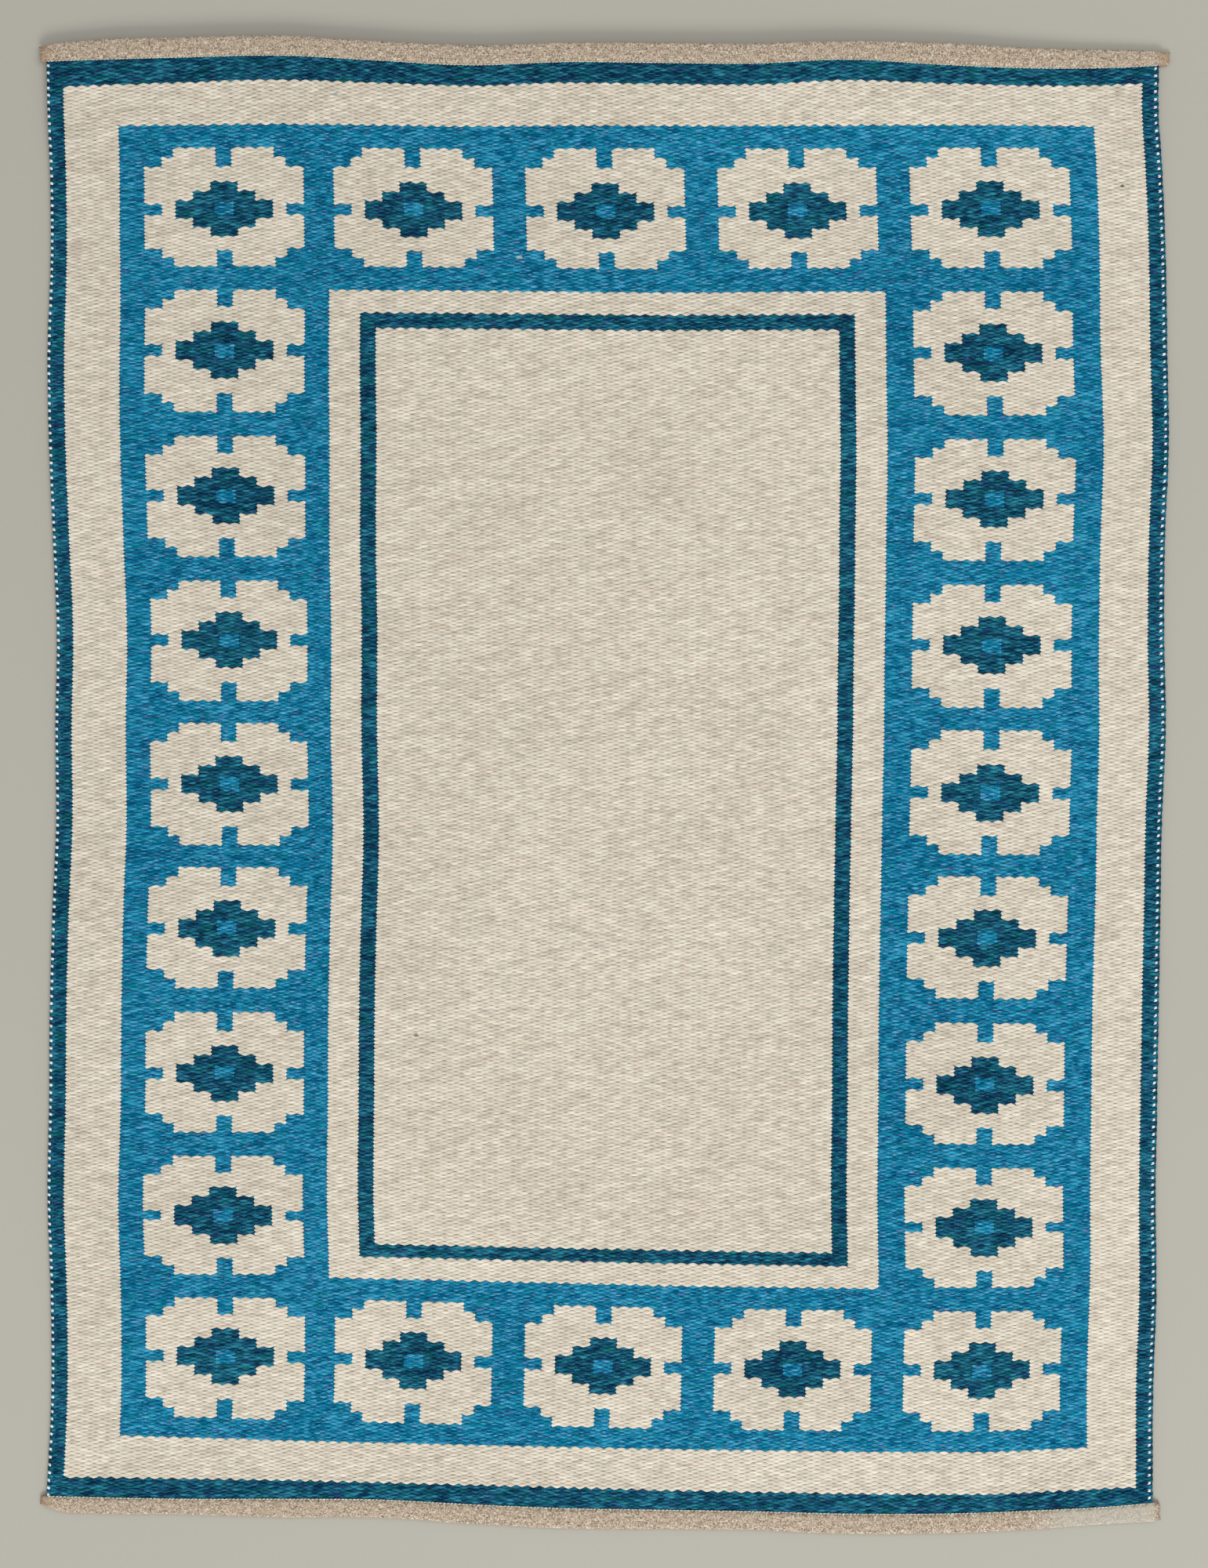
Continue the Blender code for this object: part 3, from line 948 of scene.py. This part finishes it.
def linen():
    """Plain linen: threads both ways with thick slubs, browner at its cut ends, greyer in one stretch."""
    finish = Finish("linen_tape")
    along, around, _ = finish.parts(finish.node("ShaderNodeUVMap", {"uv_map": "threads"}))
    x, y, _ = finish.parts(finish.node("ShaderNodeTexCoord", {}, {}, output="Object"))
    slub = finish.noise(along / 3.4, around / 1.5, 1.0, detail=3.0)
    cross = finish.noise(along / 1.5, around / 3.6, 8.0, detail=3.0)
    mottle = finish.noise(along / 9.0, around / 5.0, 4.0, detail=2.0)
    check = (along * (math.pi / 1.15)).math("SINE") * (around * (math.pi / 1.05)).math("SINE")
    tone = slub * 0.5 + cross * 0.5 + check * 0.04 + (mottle - 0.5) * 0.25
    colour = finish.ramp(
        tone,
        (
            (0.38, (0.155, 0.115, 0.080)),
            (0.47, (0.34, 0.265, 0.195)),
            (0.54, (0.48, 0.395, 0.300)),
            (0.64, (0.72, 0.645, 0.525)),
        ),
    )
    rosy = finish.noise(along / 16.0, around / 9.0, 15.0).between(0.52, 0.68)
    colour = finish.mix(rosy * 0.35, colour, (0.50, 0.36, 0.29, 1.0))
    olive = finish.noise(along / 19.0, around / 8.0, 25.0).between(0.54, 0.70)
    colour = finish.mix(olive * 0.3, colour, (0.42, 0.37, 0.24, 1.0))
    near = y.between(0.0, -0.1)
    grey = near * x.between(0.53, 0.60) * x.between(0.712, 0.69)
    colour = finish.mix(grey * 0.55, colour, (0.47, 0.46, 0.40, 1.0))
    handled = finish.noise(along / 5.0, around / 4.0, 35.0).between(0.3, 0.55)
    rust = x.math("ABSOLUTE").between(0.700, 0.714) * handled
    colour = finish.mix(rust * 0.55, colour, (0.33, 0.20, 0.115, 1.0))
    height = slub * 0.4 + cross * 0.3 + check * 0.35
    bump = finish.node("ShaderNodeBump", {}, {"Strength": 0.7, "Distance": 0.0004, "Height": height})
    finish.feed(Base_Color=colour, Roughness=0.85 + slub * 0.12, Specular_IOR_Level=0.12, Normal=bump)
    return finish.material


linen_finish = linen()


def add_tape(name, end):
    outward = np.sign(end[0][1])
    share, turn = tape_profile()
    steps = len(share)
    x = np.linspace(end[0][0], end[-1][0], TAPE_COLUMNS)
    sewn, centre, middle, radius = (line[:, None] for line in tape_lines(end, x))
    across = x[:, None]
    stitch_pull = STITCH_PULL_MM * np.sin(across * 2.0 * math.pi / STITCH_SPACING_MM)
    wave = 0.35 * np.sin(across / 17.0) + 0.3 * np.sin(across / 41.0 + 2.0)
    shells = []
    for skin in (0.0, TAPE_MM):
        reach = radius + skin
        flat_y = sewn + outward * (stitch_pull * (skin > 0)) + (centre - sewn) * share[None, :]
        y = flat_y + outward * (reach * np.cos(turn)[None, :] + wave * 0.5 * share[None, :])
        rise = reach * np.sin(turn)[None, :]
        at_lip = (share[None, :] == 0.0) & (skin > 0)
        rise = rise - np.where(at_lip, LIP_MM * np.sign(turn)[None, :], 0.0)
        free = (share > 0) & (share < 1) & (turn > 0) & (skin > 0)
        puff = PUFF_MM * np.sin(across / 3.1 + share[None, :] * 5.0) * free[None, :]
        z = middle + rise + puff
        ragged = RAGGED_MM * np.sin(np.arange(steps) * 2.3 + 1.0)[None, :]
        at_left = soft_step(1.0 - (across - x[0]) / RAGGED_RUN_MM)
        at_right = soft_step(1.0 - (x[-1] - across) / RAGGED_RUN_MM)
        cut_x = across + ragged * (at_left - at_right) + 0.0 * y
        shells.append(np.stack([cut_x, y, np.maximum(z, 0.0)], axis=2))
    inner, outer = (np.transpose(shell, (1, 0, 2)).reshape(-1, 3) for shell in shells)
    faces = shell_faces(TAPE_COLUMNS, steps)
    if outward < 0:
        faces = faces[:, ::-1]
    points = np.concatenate([inner, outer])
    steps_round = np.linalg.norm(np.diff(shells[1][TAPE_COLUMNS // 2], axis=0), axis=1)
    length = np.concatenate([[0.0], np.cumsum(steps_round)])
    corner = faces.ravel()
    on = corner % (steps * TAPE_COLUMNS)
    along = points[corner, 0]
    around = length[on // TAPE_COLUMNS]
    whole = length[-1]
    first_column = (faces % TAPE_COLUMNS).min(axis=1)
    fold = np.repeat(first_column * TAPE_FOLDS_IN_MAP // TAPE_COLUMNS, 4)
    per_fold = (x[-1] - x[0]) / TAPE_FOLDS_IN_MAP
    u = (along - x[0] - fold * per_fold + 4.0) / (per_fold + 12.0)
    skin = corner // (steps * TAPE_COLUMNS)
    v = (fold + 0.04 + 0.46 * skin + 0.42 * around / whole) / TAPE_FOLDS_IN_MAP
    maps = {
        "OFBake": np.stack([u, v], axis=1),
        "threads": np.stack([along, around + SKINS_APART_IN_MAP * skin], axis=1),
    }
    tape = add_mesh(name, points, faces, maps)
    tape.data.materials.append(linen_finish)
    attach(tape, "root")
    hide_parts(name.replace("linen", "binding"))
    return tape


for name, end in (("linen_tape_far", FAR_END), ("linen_tape_near", NEAR_END)):
    add_tape(name, end)


# The sewing of the tapes: pale linen thread in small close stitches that bite over the tape's edge
# into the cloth, on the face and on the back.
STITCH_FIRST_MM = 11.0
STITCH_LOOSE_MM = 0.5
STITCH_HALF = (1.9, 0.75, 0.55)
STITCH_RINGS = (-1.0, -0.6, 0.0, 0.6, 1.0)
STITCH_SIDES = 6


def thread_finish():
    finish = Finish("sewing_thread")
    x, y, _ = finish.parts(finish.node("ShaderNodeTexCoord", {}, {}, output="Object"))
    shade = finish.noise(x * 160.0, y * 160.0, 2.0)
    twist = finish.noise(x * 1500.0 + y * 1500.0, y * 700.0, 6.0)
    colour = finish.ramp(shade, ((0.35, (0.42, 0.43, 0.33)), (0.65, (0.70, 0.70, 0.60))))
    bump = finish.node("ShaderNodeBump", {}, {"Strength": 0.5, "Distance": 0.0002, "Height": twist})
    finish.feed(Base_Color=colour, Roughness=0.7 + twist * 0.2, Specular_IOR_Level=0.2, Normal=bump)
    return finish.material


thread = thread_finish()


def add_stitches(name, end):
    outward = np.sign(end[0][1])
    number = int((end[-1][0] - end[0][0] - 2.0 * STITCH_FIRST_MM) / STITCH_SPACING_MM)
    at = end[0][0] + STITCH_FIRST_MM + np.arange(number) * STITCH_SPACING_MM
    points = []
    for level in (1.0, -1.0):
        middle_x = at + STITCH_LOOSE_MM * jitter(at, level, 5)
        sewn, _, middle, radius = tape_lines(end, middle_x)
        tilt = 0.22 * jitter(at, level, 6) + 0.12
        ring = np.array(STITCH_RINGS)[None, :, None]
        angle = np.arange(STITCH_SIDES)[None, None, :] * 2.0 * math.pi / STITCH_SIDES
        girth = np.sqrt(np.clip(1.0 - (0.97 * ring) ** 2, 0.0, 1.0))
        run = ring * STITCH_HALF[0]
        side = girth * np.cos(angle) * STITCH_HALF[1]
        rise = girth * np.sin(angle) * STITCH_HALF[2] - 0.35 * ring ** 2
        x = middle_x[:, None, None] + run * np.cos(tilt)[:, None, None] - side * np.sin(tilt)[:, None, None]
        y = sewn[:, None, None] + outward * 0.1 + run * np.sin(tilt)[:, None, None]
        y = y + side * np.cos(tilt)[:, None, None]
        lip = (middle + level * (radius + TAPE_MM - LIP_MM * 0.55))[:, None, None]
        z = lip + rise * level
        points.append(np.stack(np.broadcast_arrays(x, y, np.maximum(z, 0.02)), axis=3).reshape(-1, 3))
    rings, sides = len(STITCH_RINGS), STITCH_SIDES
    tube = []
    for r in range(rings - 1):
        for s in range(sides):
            n = (s + 1) % sides
            tube.append((r * sides + s, r * sides + n, (r + 1) * sides + n, (r + 1) * sides + s))
    tube = np.array(tube)
    last = (rings - 1) * sides
    first_cap = np.array([(0, 5, 4, 1), (1, 4, 3, 2)])
    last_cap = np.array([(0, 1, 4, 5), (1, 2, 3, 4)]) + last
    one = np.concatenate([tube[:, ::-1], first_cap[:, ::-1], last_cap[:, ::-1]])
    all_faces = []
    for half in range(2):
        turned = one if half == 0 else one[:, ::-1]
        base = (np.arange(number) + half * number)[:, None, None] * rings * sides
        all_faces.append((turned[None, :, :] + base).reshape(-1, 4))
    piece = add_mesh(name, np.concatenate(points), np.concatenate(all_faces))
    piece.data.materials.append(thread)
    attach(piece, "root")
    return piece


for name, end in (("tape_stitches_far", FAR_END), ("tape_stitches_near", NEAR_END)):
    add_stitches(name, end)


# The floor and the light: a plain pale floor, and the soft light of a studio from above.
FLOOR_LEVEL = -0.0003
FLOOR_HALF = 4.0

bpy.ops.object.select_all(action="DESELECT")
bpy.ops.mesh.primitive_plane_add(size=2.0 * FLOOR_HALF, location=(0.0, 0.0, FLOOR_LEVEL))
floor = bpy.context.object
floor.name = "floor"
bpy.ops.object.transform_apply(location=True, rotation=True, scale=True)
floor_finish = Finish("pale_floor")
floor_x, floor_y, _ = floor_finish.parts(floor_finish.node("ShaderNodeTexCoord", {}, {}, output="Object"))
floor_cloud = floor_finish.noise(floor_x * 1.2, floor_y * 1.2, 4.0)
floor_grain = floor_finish.noise(floor_x * 160.0, floor_y * 160.0, 6.0, detail=3.0)
floor_cloud = floor_cloud * 0.7 + floor_grain * 0.3
floor_colour = floor_finish.mix(floor_cloud, (0.395, 0.38, 0.33, 1.0), (0.435, 0.42, 0.368, 1.0))
floor_finish.feed(Base_Color=floor_colour, Roughness=0.9, Specular_IOR_Level=0.1)
floor.data.materials.append(floor_finish.material)


def add_softbox(name, place, size, watts):
    """A soft rectangular light that faces the middle of the rug."""
    light = bpy.data.lights.new(name, "AREA")
    light.shape = "RECTANGLE"
    light.size, light.size_y = size
    light.energy = watts
    lamp = bpy.data.objects.new(name, light)
    lamp.location = place
    x, y, z = place
    lamp.rotation_euler = (math.atan2(math.hypot(x, y), z), 0.0, math.atan2(x, -y))
    bpy.context.scene.collection.objects.link(lamp)


add_softbox("softbox_near", (0.8, -7.0, 4.4), (5.0, 3.0), 475.0)
add_softbox("softbox_right", (2.2, 1.6, 3.6), (1.6, 2.4), 35.0)
world = bpy.data.worlds.new("studio")
world.use_nodes = True
sky = world.node_tree.nodes["Background"]
sky.inputs["Color"].default_value = (1.0, 1.0, 1.0, 1.0)
sky.inputs["Strength"].default_value = 0.66
bpy.context.scene.world = world
